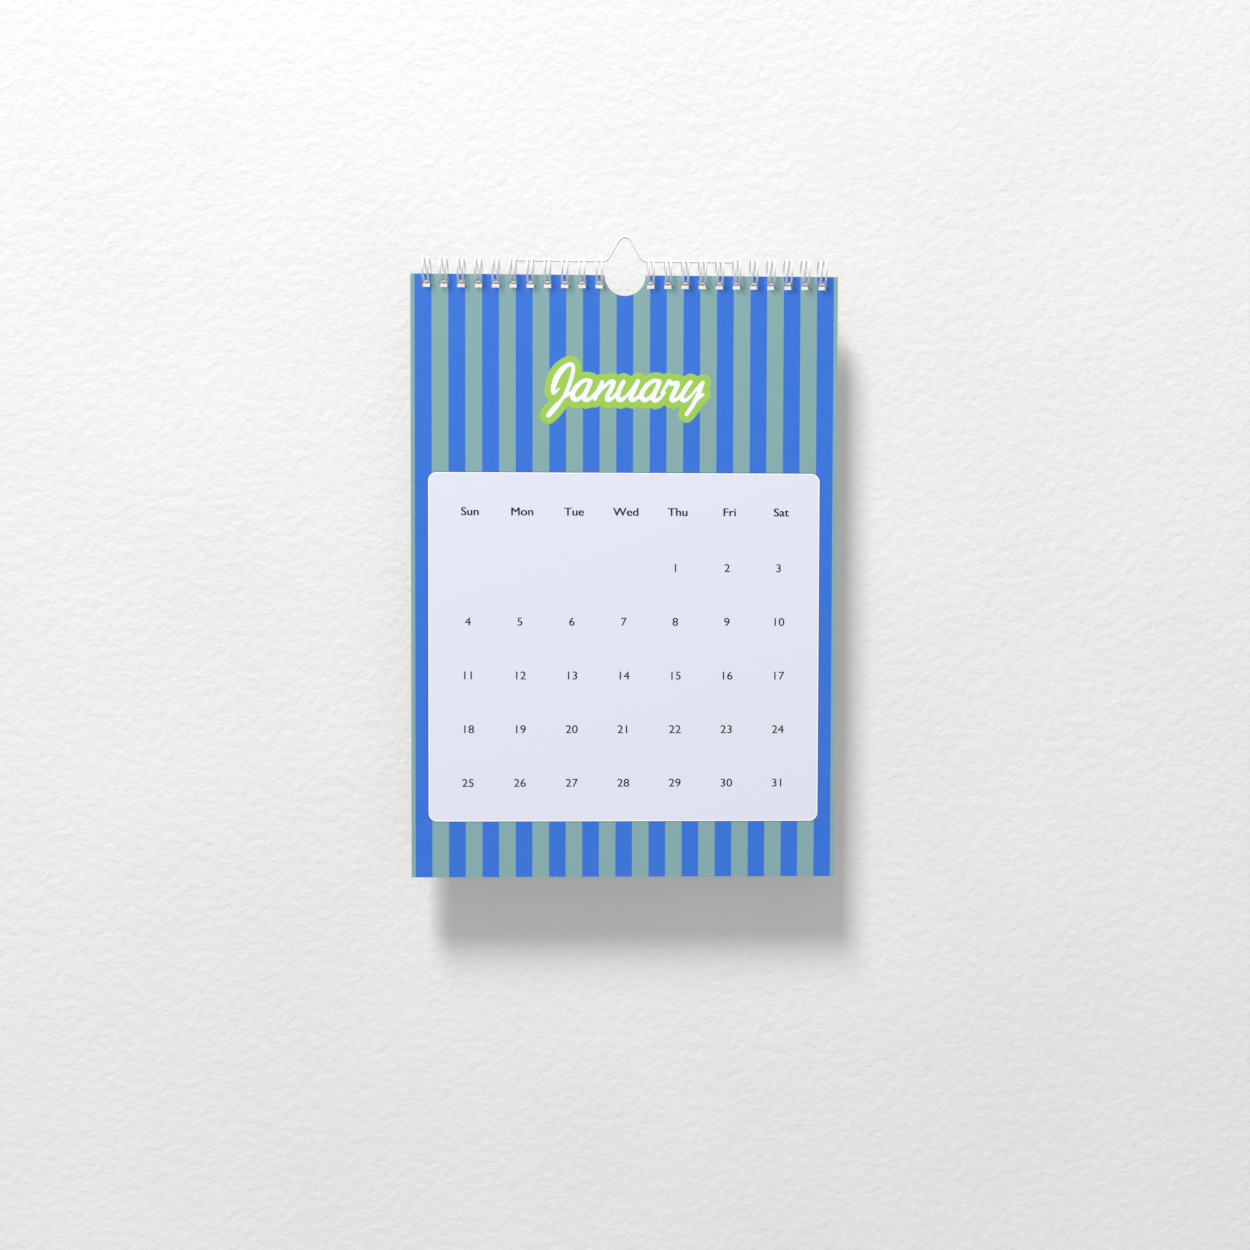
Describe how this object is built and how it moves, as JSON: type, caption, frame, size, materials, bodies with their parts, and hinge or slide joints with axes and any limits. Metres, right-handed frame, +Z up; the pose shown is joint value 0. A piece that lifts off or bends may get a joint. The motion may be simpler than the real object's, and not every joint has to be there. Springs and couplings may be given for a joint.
{
  "type": "wall calendar",
  "caption": "Wire-bound portrait wall calendar with a front leaf that lifts, punched leaves on a card back, twin-loop combs and a wire hanger with a central hook.",
  "frame": {"origin": "seat of the hanger's hook: the inner side of its upper bend, where it rests on a nail, midway in the calendar's width and depth", "axes": "+Z up along the height of the hanging leaves, +X to the reader's right, -Y the printed side, +Y towards the wall"},
  "size_m": [0.21, 0.0132, 0.3167],
  "materials": {
    "hanger_wire": "gloss white plastic coating",
    "wire_combs": "gloss white plastic coating",
    "front_sheet": "coated printed paper, semi-matt",
    "inner_sheets": "coated paper, semi-matt",
    "back_board": "uncoated grey board"
  },
  "bodies": {
    "hanger": {"hanger_wire": "hanger_wire"},
    "calendar": {"back_board": "back_board", "inner_sheets": "inner_sheets", "wire_comb_left": "wire_combs", "wire_comb_right": "wire_combs"},
    "front_leaf": {"front_sheet": "front_sheet"}
  },
  "joints": [
    {"name": "hanger_swing", "type": "hinge", "parent": "hanger", "child": "calendar", "pos_m": [0, 0, -0.01119], "axis": [-1, 0, 0], "continuous": true},
    {"name": "leaf_lift", "type": "hinge", "parent": "calendar", "child": "front_leaf", "pos_m": [0, 0, -0.01619], "axis": [-1, 0, 0], "range_deg": [0, 140]}
  ]
}
